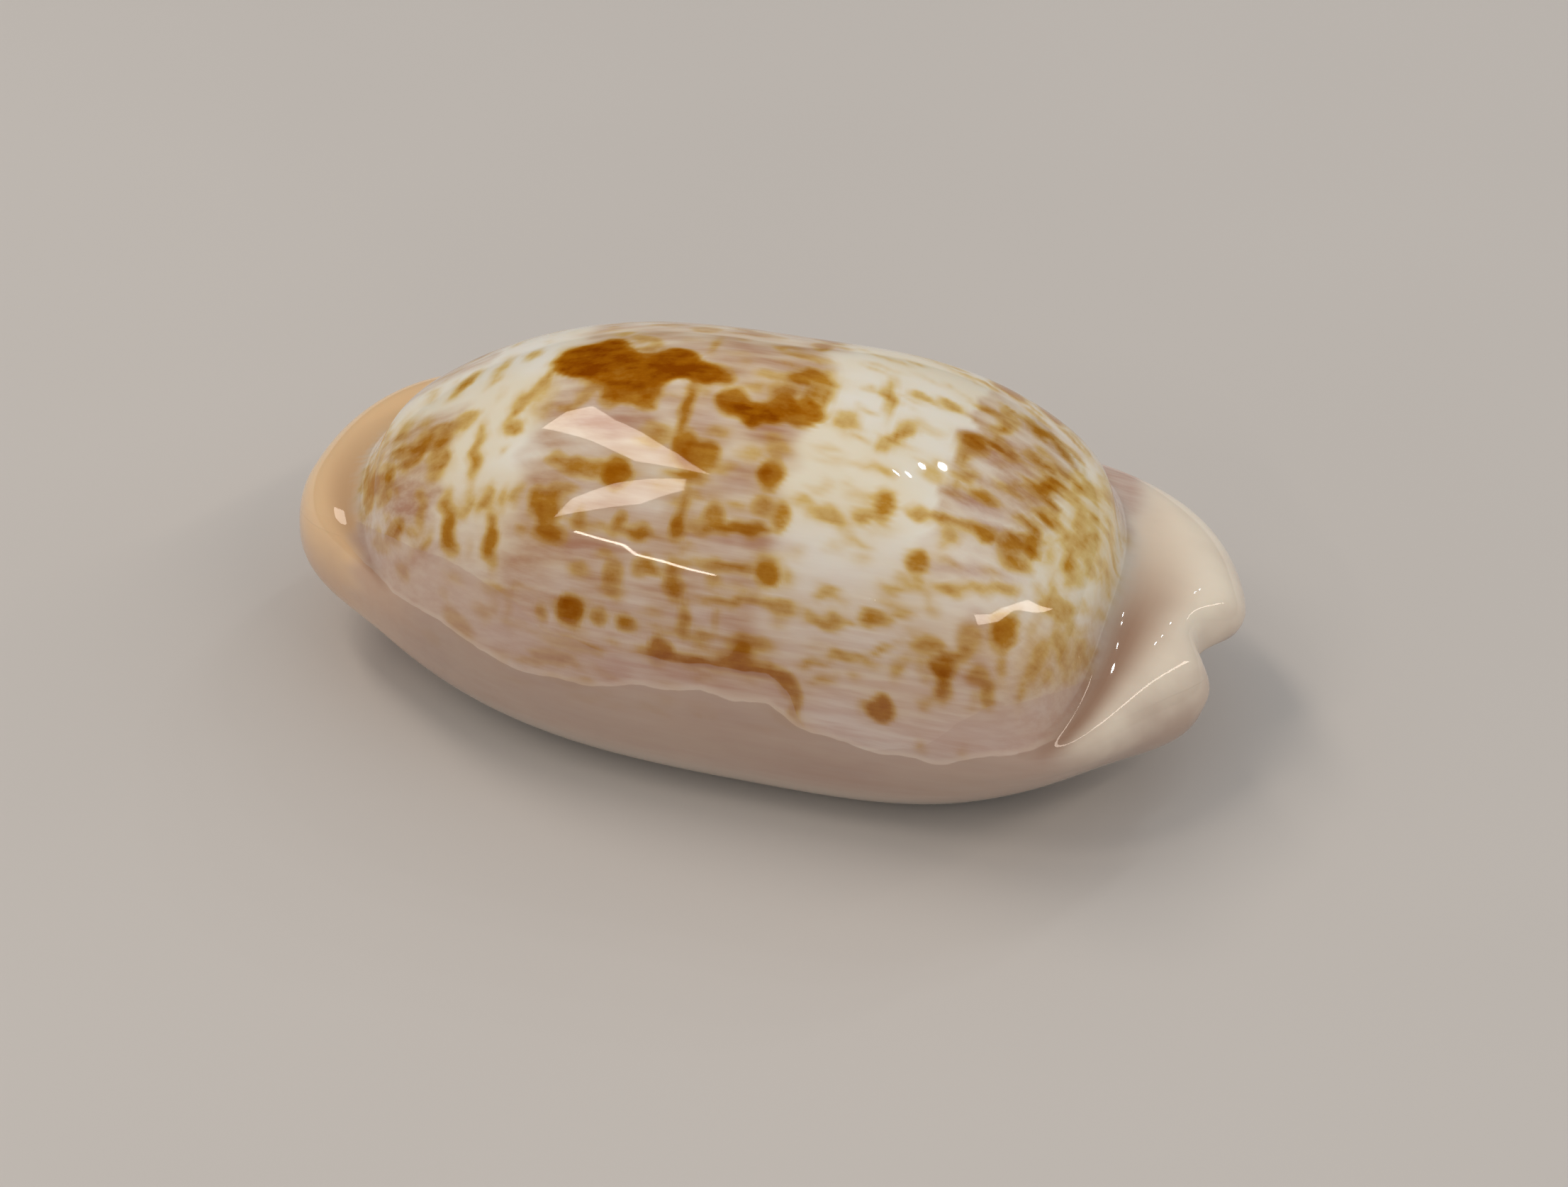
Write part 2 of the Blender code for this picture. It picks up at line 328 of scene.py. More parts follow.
    def control_rows(self) -> np.ndarray:
        """All rings that the surface passes through, from the summit to the hollow's roof.

        Returns:
            Their points, ring by ring.
        """
        angle, _, _ = self.turn_angles(self.plan_blunt)
        crease = np.radians(self.by_side(angle, self.crease_at))
        count = self.back_levels
        rows = [self.back_ring(crease * step / count) for step in range(count)]
        rows.append(self.back_ring(crease, crease=1.0))
        rows += [self.base_ring(ring) for ring in RINGS]
        rows += [self.back_ring(np.radians(level), inset=self.wall) for level in self.hollow_levels]
        rows.append(self.back_ring(0.0, inset=self.wall))
        return np.array(rows) - np.array([self.origin[0], self.origin[1], 0.0])

    def fine_rows(self) -> tuple:
        """Curve smoothly from ring to ring.

        Returns:
            The rows of points, and for each row its place among the rings.
        """
        rings = self.control_rows()
        half = 2 * self.quarter
        before, after = np.roll(rings[1], half, axis=0), np.roll(rings[-2], half, axis=0)
        points = np.concatenate([before[None], rings, after[None]])
        gaps = np.maximum(np.linalg.norm(np.diff(points, axis=0), axis=2) ** 0.5, 1e-6)
        rows, places = [], []
        for index, count in enumerate(self.steps):
            p0, p1, p2, p3 = points[index:index + 4]
            g0, g1, g2 = (gaps[index + k][:, None] for k in range(3))
            leave = g1 * ((p1 - p0) / g0 - (p2 - p0) / (g0 + g1) + (p2 - p1) / g1)
            enter = g1 * ((p2 - p1) / g1 - (p3 - p1) / (g1 + g2) + (p3 - p2) / g2)
            for step in range(count):
                t = step / count
                rows.append((2 * t ** 3 - 3 * t ** 2 + 1) * p1 + (t ** 3 - 2 * t ** 2 + t) * leave
                            + (3 * t ** 2 - 2 * t ** 3) * p2 + (t ** 3 - t ** 2) * enter)
                places.append(index + t)
        rows.append(rings[-1])
        places.append(float(len(rings) - 1))
        rows = np.array(rows)
        rows[..., 2] = np.maximum(rows[..., 2], 0.0)
        return rows, np.array(places)

    def build(self, name: str) -> tuple:
        """Make a sphere with the right rows and columns and move its vertices onto the shell.

        Args:
            name: Name of the mesh.

        Returns:
            The mesh, and for each vertex its point in millimetres and its place among the rings.
        """
        rows, places = self.fine_rows()
        last, columns = len(rows) - 1, 4 * self.quarter
        grid = bmesh.new()
        bmesh.ops.create_uvsphere(grid, u_segments=columns, v_segments=last, radius=1.0)
        spots = np.array([vertex.co for vertex in grid.verts], float)
        row = np.rint(np.arccos(np.clip(spots[:, 2], -1.0, 1.0)) / np.pi * last).astype(int)
        turn = np.arctan2(spots[:, 1], spots[:, 0]) / (2.0 * np.pi)
        column = np.rint(turn * columns).astype(int) % columns
        points = rows[row, column]
        for vertex, point in zip(grid.verts, points):
            vertex.co = point * MM
        mesh = bpy.data.meshes.new(name)
        grid.to_mesh(mesh)
        grid.free()
        mesh.shade_smooth()
        return mesh, points, places[row]


@dataclass(frozen=True)
class Mark:
    """One soft oval of colour on the back, placed and sized in millimetres."""

    along: float            # along the shell, toward the rear end
    around: float           # round the shell from the middle of the back
    long: float             # half its size along the shell
    wide: float             # half its size round the shell
    strength: float = 0.7
    lean: float = 0.0       # degrees that its long way turns from along to around

    def cover(self, along: np.ndarray, around: np.ndarray, soft: float) -> np.ndarray:
        """How much of its colour each point takes.

        Args:
            along: Places of the points along the shell.
            around: Places of the points round the shell.
            soft: Breadth of the soft edge.

        Returns:
            Values from 0 to the mark's strength.
        """
        turn = math.radians(self.lean)
        step_x, step_g = along - self.along, around - self.around
        u = step_x * math.cos(turn) + step_g * math.sin(turn)
        v = step_g * math.cos(turn) - step_x * math.sin(turn)
        inside = (1.0 - np.hypot(u / self.long, v / self.wide)) * min(self.long, self.wide)
        return self.strength * smooth(-soft, soft, inside)


@dataclass(frozen=True)
class Scatter:
    """A patch of small marks that are strewn at random."""

    along: tuple            # from, to
    around: tuple           # from, to
    count: int
    long: tuple             # least and most half size along the shell
    wide: tuple             # least and most half size round the shell
    strength: tuple = (0.3, 0.6)
    lean: float = 0.0       # degrees
    sway: float = 8.0       # how much the lean varies, in degrees

    def marks(self, draw: np.random.Generator) -> list:
        """Strew the marks.

        Args:
            draw: Source of random numbers.

        Returns:
            The values of each mark.
        """
        spans = (self.along, self.around, self.long, self.wide, self.strength)
        return [(*(draw.uniform(*span) for span in spans), self.lean + draw.normal(0.0, self.sway))
                for _ in range(self.count)]


# the marks, each with the six values of a Mark in their order; the last ones may be left out
FRONT_MARKS = (
    (-10.2, -0.15, 0.25, 0.95, 0.75, 14), (-9.05, -0.7, 0.2, 0.9, 0.35, 4),
    (-8.05, -1.2, 0.25, 0.45, 0.5, 14), (-11.4, -0.6, 0.2, 0.9, 0.3, -10), (-12.1, 1.9, 0.2, 1.2, 0.3),
    (-10.35, 3.35, 0.55, 0.75, 0.5), (-10.9, 3.6, 0.2, 0.8, 0.5, -8), (-11.6, 3.9, 0.5, 0.45, 0.4),
    (-9.5, 2.7, 0.4, 0.55, 0.4), (-8.8, 3.3, 0.15, 0.5, 0.35), (-8.7, 4.7, 0.2, 1.0, 0.6, -4),
    (-10.1, 4.7, 0.35, 1.0, 0.5), (-11.1, 4.4, 0.4, 0.6, 0.4), (-13.1, 4.6, 0.25, 1.4, 0.6, -6),
    (-12.5, 5.8, 0.45, 0.7, 0.45), (-11.9, 5.4, 0.2, 0.6, 0.7, -6), (-12.0, 6.7, 0.3, 0.6, 0.45),
    (-12.9, 6.7, 0.2, 0.8, 0.5, -6), (-11.2, 8.3, 0.35, 0.7, 0.5, 20), (-11.8, 9.4, 0.4, 0.4, 0.4),
    (-10.7, 10.1, 0.25, 0.4, 0.45), (-10.2, 7.7, 0.15, 0.5, 0.3), (-9.2, 7.3, 0.25, 0.9, 0.6, -8),
    (-9.0, 8.1, 0.27, 0.6, 0.8, -10), (-9.45, 6.6, 0.25, 0.5, 0.4), (-7.5, 7.8, 0.2, 0.9, 0.8, -8),
    (-7.55, 8.0, 0.3, 0.45, 0.6), (-8.5, 6.6, 0.12, 0.4, 0.5), (-8.15, 6.6, 0.14, 0.35, 0.45),
    (-7.9, 6.3, 0.14, 0.4, 0.6, 6), (-7.35, 6.25, 0.13, 0.35, 0.55), (-7.0, 6.2, 0.12, 0.3, 0.5),
    (-6.8, 5.85, 0.12, 0.2, 0.35), (-6.5, 7.3, 0.2, 0.2, 0.3), (-7.2, 9.6, 0.4, 0.25, 0.3),
    (-8.7, 9.6, 0.35, 0.2, 0.3), (-8.4, 11.4, 0.75, 0.4, 0.4, 50), (-7.3, 10.5, 0.2, 0.5, 0.28, 20),
    (-6.6, 10.2, 0.15, 0.4, 0.28), (-6.8, 12.2, 0.3, 0.4, 0.25), (-9.4, 12.6, 0.3, 0.35, 0.4),
    (-5.45, 10.1, 0.2, 0.32, 0.5), (-5.1, 11.6, 0.7, 0.25, 0.4),
)

PATCH_MARKS = (
    (-5.75, -0.2, 1.3, 1.15, 0.75), (-5.45, -1.2, 0.45, 0.4, 0.6), (-6.6, -0.3, 0.45, 0.95, 0.6),
    (-4.4, 0.6, 1.7, 1.0, 0.7, 8), (-5.1, -0.4, 1.1, 0.5, 0.55, 36), (-3.0, 0.25, 0.85, 0.85, 0.85),
    (-3.6, 0.7, 0.9, 0.45, 0.5), (-1.9, 0.6, 1.0, 0.5, 0.8, 10), (-4.0, 1.75, 0.95, 0.6, 0.6),
    (-4.6, 2.2, 0.3, 0.3, 0.4), (-3.35, 2.25, 0.35, 0.3, 0.5), (-0.6, 1.75, 0.6, 0.55, 0.6),
    (0.3, 2.05, 0.85, 0.42, 0.85), (0.25, 2.3, 0.4, 0.22, 0.4), (1.05, 1.65, 0.6, 0.5, 0.6),
    (1.75, 1.75, 0.5, 0.55, 0.5), (-5.3, 1.2, 0.8, 0.35, 0.25, 30),
)

MIDDLE_MARKS = (
    (-7.12, 0.5, 0.13, 1.1, 0.45), (-7.4, 1.6, 0.14, 0.7, 0.5, 18), (-7.8, 2.6, 0.17, 0.7, 0.5, 12),
    (-7.6, 3.4, 0.3, 0.35, 0.6), (-6.9, 2.2, 0.5, 1.0, 0.2), (-5.6, 2.1, 0.25, 0.5, 0.35, 20),
    (-2.0, 2.4, 0.18, 1.1, 0.75), (-1.75, 3.6, 0.35, 0.5, 0.7), (-1.15, 4.0, 0.7, 0.55, 0.7),
    (-2.55, 3.45, 0.4, 0.25, 0.45), (2.0, 0.7, 0.4, 1.3, 0.65), (1.25, 0.05, 0.55, 0.4, 0.7, -35),
    (1.5, -0.3, 0.3, 0.22, 0.5, -20), (0.3, 0.3, 0.5, 0.3, 0.35), (0.9, 1.0, 0.5, 0.4, 0.45),
    (-1.95, -1.1, 0.12, 0.45, 0.45), (1.1, -1.2, 0.8, 0.22, 0.4), (1.35, -2.5, 0.3, 0.55, 0.6),
    (-2.6, -2.6, 0.5, 0.5, 0.4), (-0.8, -2.9, 0.5, 0.3, 0.3), (-4.4, -1.4, 0.5, 0.25, 0.35, 30),
    (-3.9, -1.0, 0.12, 0.35, 0.4), (1.3, 3.25, 0.4, 0.2, 0.4), (1.25, 4.15, 0.37, 0.55, 0.85),
    (0.35, 3.6, 0.4, 0.25, 0.3), (-4.5, 4.85, 1.2, 0.35, 0.6), (-3.7, 4.9, 0.45, 0.5, 0.85),
    (-1.5, 4.7, 0.5, 0.15, 0.7), (-5.9, 4.6, 0.35, 0.25, 0.4), (-6.2, 6.2, 0.28, 0.5, 0.6),
    (-5.7, 6.6, 0.35, 0.8, 0.7), (-5.5, 7.35, 0.5, 0.25, 0.75), (-4.6, 6.7, 0.25, 0.35, 0.5),
    (-5.4, 5.7, 0.5, 0.2, 0.5), (-1.35, 6.4, 0.28, 0.42, 0.8), (-1.35, 5.6, 0.15, 0.5, 0.4),
    (0.4, 6.15, 1.0, 0.17, 0.85, -8), (-0.3, 5.9, 0.28, 0.4, 0.6), (0.4, 5.4, 0.3, 0.15, 0.4),
    (1.2, 5.3, 0.35, 0.3, 0.5), (1.85, 5.55, 0.26, 0.45, 0.7), (-3.3, 6.5, 0.27, 0.27, 0.55),
    (-2.6, 6.8, 0.35, 0.25, 0.6), (-3.3, 6.85, 1.0, 0.12, 0.45), (1.75, 7.45, 0.4, 0.42, 0.9),
    (0.7, 7.4, 0.9, 0.14, 0.6, -5), (-0.1, 7.4, 0.35, 0.15, 0.4), (-2.2, 7.85, 0.42, 0.35, 0.6),
    (-1.2, 8.3, 0.27, 0.5, 0.6, -10), (-3.2, 8.3, 0.35, 0.42, 0.6), (-4.4, 8.3, 0.35, 0.2, 0.4),
    (0.1, 8.0, 0.3, 0.22, 0.35), (1.0, 8.45, 1.1, 0.13, 0.55, -8), (2.35, 8.5, 0.5, 0.28, 0.5),
    (-4.5, 9.75, 0.42, 0.5, 0.92), (-3.55, 9.8, 0.3, 0.32, 0.65), (-2.6, 9.85, 0.27, 0.28, 0.6),
    (-0.7, 9.4, 0.18, 0.5, 0.55), (-1.8, 9.3, 0.3, 0.15, 0.3), (0.3, 9.2, 0.12, 0.27, 0.3),
    (1.5, 9.85, 0.75, 0.35, 0.4), (-1.4, 10.6, 0.35, 0.47, 0.92), (-0.2, 10.75, 1.5, 0.2, 0.7),
    (1.6, 10.6, 1.1, 0.3, 0.8, 6), (1.25, 10.2, 0.4, 0.27, 0.7), (2.9, 11.1, 0.3, 0.5, 0.6, -30),
    (3.15, 11.9, 0.22, 0.6, 0.5), (2.7, 12.3, 0.5, 0.15, 0.5, 25), (-3.6, 11.0, 0.27, 0.17, 0.4),
    (-4.4, 11.0, 1.0, 0.3, 0.3),
)

REAR_MARKS = (
    (4.1, -0.4, 0.18, 0.95, 0.6, -8), (3.15, 1.55, 0.45, 0.5, 0.45), (4.9, 1.25, 0.25, 0.75, 0.7, 12),
    (4.5, 2.2, 0.18, 0.35, 0.55, 12), (3.3, 3.4, 0.6, 0.1, 0.22), (5.0, -1.2, 0.35, 0.3, 0.4),
    (6.0, -1.55, 0.4, 0.3, 0.5, -20), (5.6, 0.5, 0.5, 0.3, 0.22), (7.0, -2.55, 0.5, 0.2, 0.6, -20),
    (7.65, -2.1, 0.2, 0.45, 0.6, 15), (7.4, -1.6, 0.15, 0.2, 0.4), (7.1, -0.3, 0.25, 0.5, 0.7, 14),
    (7.0, 0.1, 0.5, 0.6, 0.5), (9.5, -0.45, 0.2, 0.75, 0.85, 14), (9.1, 0.4, 0.5, 0.3, 0.6),
    (8.15, -0.6, 0.25, 0.5, 0.4), (6.9, 1.2, 0.15, 0.5, 0.45), (9.85, 1.8, 0.35, 0.5, 0.6, -14),
    (7.85, 2.8, 0.4, 0.33, 0.6), (6.2, 2.8, 0.3, 0.4, 0.35), (9.55, 4.0, 0.16, 0.9, 0.55),
    (9.6, 4.5, 0.22, 0.4, 0.75), (10.75, 4.1, 0.12, 1.0, 0.75, -4), (11.3, 3.4, 0.1, 0.6, 0.45, -6),
    (10.2, 4.4, 0.12, 0.4, 0.4), (10.6, 0.2, 0.14, 0.9, 0.45), (10.6, -3.2, 0.2, 1.0, 0.35, 10),
    (3.35, 5.2, 0.45, 0.3, 0.5), (4.45, 5.1, 0.35, 0.3, 0.55), (5.05, 4.6, 0.38, 0.55, 0.7),
    (6.1, 4.65, 0.35, 0.3, 0.55), (6.85, 4.5, 0.4, 0.25, 0.55), (7.2, 5.1, 0.2, 0.4, 0.5),
    (7.7, 4.5, 0.4, 0.25, 0.55), (8.25, 4.6, 0.35, 0.35, 0.6), (9.0, 4.6, 0.32, 0.6, 0.6),
    (9.3, 5.4, 0.5, 0.3, 0.55), (2.4, 4.9, 0.3, 0.15, 0.4), (3.5, 5.4, 0.5, 0.14, 0.4),
    (6.4, 6.3, 0.37, 0.4, 0.7), (7.6, 7.0, 0.45, 0.22, 0.6), (8.4, 6.75, 0.4, 0.18, 0.5),
    (9.3, 6.6, 0.35, 0.2, 0.5, -20), (5.7, 7.3, 0.35, 0.2, 0.45), (6.35, 7.1, 0.3, 0.14, 0.4, -20),
    (3.75, 7.75, 0.4, 0.16, 0.6, -18), (5.4, 8.3, 0.45, 0.26, 0.7), (3.95, 8.65, 0.6, 0.2, 0.55, -6),
    (6.2, 8.0, 0.4, 0.14, 0.4, -20), (9.45, 8.1, 0.4, 0.65, 0.8), (8.5, 8.4, 0.4, 0.5, 0.35, -40),
    (7.75, 9.5, 0.45, 0.35, 0.8, 20), (8.25, 9.1, 0.55, 0.18, 0.6, -50), (7.9, 10.2, 0.25, 0.45, 0.65),
    (7.2, 8.85, 0.4, 0.25, 0.6, -20), (9.3, 10.2, 0.25, 0.45, 0.55), (8.9, 9.6, 0.35, 0.4, 0.35),
    (10.8, 6.8, 0.5, 0.6, 0.4), (10.6, 8.7, 0.13, 0.5, 0.5), (11.2, 8.8, 0.13, 0.7, 0.6, -16),
    (11.6, 8.4, 0.12, 0.3, 0.45), (9.6, 9.2, 0.15, 0.4, 0.4), (5.9, 11.3, 0.42, 0.48, 0.88),
    (5.4, 11.3, 0.25, 0.2, 0.4), (4.7, 9.7, 0.42, 0.13, 0.6), (5.7, 9.25, 0.45, 0.13, 0.5, -28),
    (3.6, 10.1, 0.4, 0.13, 0.5, -18), (4.0, 10.6, 0.4, 0.15, 0.45, -18), (5.0, 10.3, 0.17, 0.12, 0.3),
    (6.3, 9.8, 0.2, 0.3, 0.35, 40), (7.3, 12.5, 0.2, 0.3, 0.25), (8.7, 12.4, 0.2, 0.3, 0.25),
)

FAR_MARKS = (
    (-6.2, -6.1, 1.2, 0.9, 0.85, 10), (-4.7, -6.9, 0.9, 0.8, 0.75), (-2.6, -5.4, 0.9, 0.6, 0.7, -12),
    (-0.6, -6.4, 0.8, 0.5, 0.8), (1.2, -5.6, 0.6, 0.9, 0.7), (-3.4, -9.6, 1.3, 0.4, 0.7, 6),
    (-0.8, -9.9, 1.1, 0.35, 0.75, -6), (1.4, -9.2, 0.5, 0.8, 0.65), (-5.9, -9.4, 0.45, 0.6, 0.7),
    (-10.4, -5.2, 0.6, 1.1, 0.7), (-11.5, -7.1, 0.4, 0.9, 0.6), (-9.9, -9.2, 0.3, 0.8, 0.65),
    (7.2, -5.6, 0.7, 0.6, 0.7), (8.6, -6.8, 0.5, 0.9, 0.75), (7.4, -9.2, 0.8, 0.4, 0.65),
    (9.4, -9.6, 0.3, 0.6, 0.7), (4.1, -5.9, 0.3, 0.5, 0.55), (4.8, -8.4, 0.4, 0.3, 0.65),
    (3.4, -10.6, 0.5, 0.16, 0.5, 10), (-7.9, -7.2, 0.2, 0.8, 0.6), (-8.2, -10.4, 0.35, 0.2, 0.5),
)

SCATTERED = (
    Scatter((-12.8, -9.6), (2.6, 9.5), 46, (0.08, 0.2), (0.15, 0.5), (0.15, 0.4)),
    Scatter((-13.8, -12.6), (-1.0, 9.5), 40, (0.08, 0.16), (0.2, 0.6), (0.2, 0.45)),
    Scatter((-6.4, 3.0), (11.0, 13.4), 30, (0.15, 0.45), (0.08, 0.2), (0.2, 0.5)),
    Scatter((-12.8, -9.6), (-3.5, 2.6), 16, (0.08, 0.2), (0.15, 0.5), (0.1, 0.25)),
    Scatter((-9.6, -7.0), (-3.5, 11.0), 30, (0.08, 0.2), (0.12, 0.4), (0.1, 0.3)),
    Scatter((-6.4, 1.8), (-3.0, 11.0), 70, (0.15, 0.5), (0.08, 0.22), (0.12, 0.4)),
    Scatter((2.0, 6.8), (-3.0, 11.0), 80, (0.12, 0.4), (0.07, 0.16), (0.12, 0.35)),
    Scatter((6.8, 10.2), (-3.5, 4.0), 50, (0.1, 0.35), (0.1, 0.3), (0.15, 0.4)),
    Scatter((6.8, 10.2), (4.0, 11.0), 44, (0.1, 0.3), (0.1, 0.22), (0.1, 0.3)),
    Scatter((10.0, 12.0), (-8.0, 10.0), 100, (0.06, 0.12), (0.2, 0.6), (0.12, 0.4)),
    Scatter((-12.8, -9.4), (-13.0, -3.5), 60, (0.1, 0.3), (0.15, 0.6), (0.2, 0.6)),
    Scatter((-9.4, -6.4), (-13.0, -3.5), 40, (0.1, 0.3), (0.12, 0.4), (0.12, 0.4)),
    Scatter((-6.4, 1.8), (-12.5, -3.0), 90, (0.15, 0.5), (0.1, 0.3), (0.2, 0.65)),
    Scatter((2.0, 6.8), (-12.5, -3.0), 70, (0.12, 0.4), (0.07, 0.2), (0.12, 0.45)),
    Scatter((6.8, 10.2), (-12.5, -3.5), 70, (0.12, 0.35), (0.1, 0.3), (0.2, 0.6)),
    Scatter((-10.5, 9.5), (-16.5, -13.2), 46, (0.12, 0.3), (0.12, 0.25), (0.3, 0.75)),
)

MAUVE_MARKS = (
    (-11.0, 6.6, 1.3, 1.0, 0.5), (-10.7, 7.3, 0.7, 0.5, 0.45, 30), (-10.1, 9.25, 1.0, 0.32, 0.6, -40),
    (-11.3, 4.0, 0.7, 0.7, 0.4), (-10.4, 3.0, 0.6, 0.5, 0.35), (-11.2, 8.2, 0.5, 0.7, 0.35, 20),
    (-4.4, 3.15, 1.6, 0.4, 0.75, 3), (-5.0, 2.6, 1.2, 0.5, 0.45), (-1.5, 2.6, 0.7, 0.45, 0.5),
    (0.9, 2.6, 0.75, 0.4, 0.8, -8), (0.2, 4.5, 0.6, 0.4, 0.5), (-0.5, -1.1, 1.4, 0.25, 0.55),
    (-0.6, -0.35, 1.5, 0.28, 0.5), (1.2, -0.65, 0.6, 0.2, 0.5, -12), (-5.4, 5.6, 0.9, 0.35, 0.6),
    (0.7, 6.5, 1.1, 0.22, 0.8, -5), (-1.6, 6.95, 1.1, 0.2, 0.5), (-4.6, 7.55, 1.3, 0.35, 0.8, -4),
    (-2.6, 6.3, 1.2, 0.3, 0.4), (1.1, 8.8, 1.0, 0.2, 0.4, -6), (-0.2, 11.3, 2.2, 0.3, 0.65),
    (-2.8, 11.9, 0.6, 0.6, 0.65), (-4.0, 12.5, 0.9, 0.4, 0.5), (0.75, 11.6, 0.3, 0.25, 0.5),
    (2.6, 11.2, 0.5, 0.4, 0.5, 40), (7.6, -0.1, 1.1, 0.9, 0.65), (8.9, 1.2, 0.5, 0.8, 0.6),
    (8.2, -1.0, 0.8, 0.5, 0.45), (9.0, -3.9, 0.8, 0.7, 0.4), (7.6, 3.3, 0.75, 0.38, 0.75),
    (8.3, 4.2, 0.9, 0.3, 0.4), (9.0, 4.6, 0.5, 0.7, 0.45), (7.9, 6.2, 1.1, 0.22, 0.6, -6),
    (8.9, 9.6, 0.5, 0.5, 0.6), (7.8, 9.5, 0.5, 0.5, 0.5), (8.6, 8.2, 0.5, 0.6, 0.5),
    (9.1, 12.2, 1.2, 0.5, 0.3), (-3.5, -5.2, 2.6, 0.5, 0.6), (-2.0, -7.6, 3.2, 0.7, 0.55),
    (-2.4, -11.4, 3.0, 0.4, 0.5), (8.2, -8.0, 1.3, 0.8, 0.5), (-11.0, -6.0, 1.0, 1.4, 0.45),
)


@dataclass(frozen=True)
class Waves:
    """Smooth random waves that run every way over the surface."""

    height: float
    length: float               # millimetres, a typical one
    count: int = 6
    spread: tuple = (0.6, 1.5)  # shortest and longest wave, as shares of the typical one
    gain: float = 1.5           # so that the sum mostly stays within the height

    def at(self, u: np.ndarray, v: np.ndarray, draw: np.random.Generator) -> np.ndarray:
        """Add up the waves.

        Args:
            u: First coordinates.
            v: Second coordinates.
            draw: Source of random numbers.

        Returns:
            Values from about minus the height to the height.
        """
        total = np.zeros_like(u)
        for _ in range(self.count):
            course, phase = draw.uniform(0.0, 2.0 * np.pi, 2)
            pace = 2.0 * np.pi / (self.length * draw.uniform(*self.spread))
            total += np.sin((u * np.cos(course) + v * np.sin(course)) * pace + phase)
        return self.height * (total * self.gain / self.count)


def pile(rows: Iterable, along: np.ndarray, around: np.ndarray, soft: float) -> np.ndarray:
    """Lay soft marks over one another.

    Args:
        rows: The values of each mark.
        along: Places of the points along the shell.
        around: Places of the points round the shell.
        soft: Breadth of the marks' soft edges.

    Returns:
        How thick the colour lies at each point, 0 to 1.
    """
    bare = np.ones_like(along)
    order = np.argsort(along)
    ranked = along[order]
    for mark in (Mark(*row) for row in rows):
        reach = max(mark.long, mark.wide) + soft * max(1.0, mark.long / mark.wide, mark.wide / mark.long)
        first, last = np.searchsorted(ranked, (mark.along - reach, mark.along + reach))
        near = order[first:last]
        bare[near] *= 1.0 - np.minimum(mark.cover(along[near], around[near], soft), 0.98)
    return 1.0 - bare


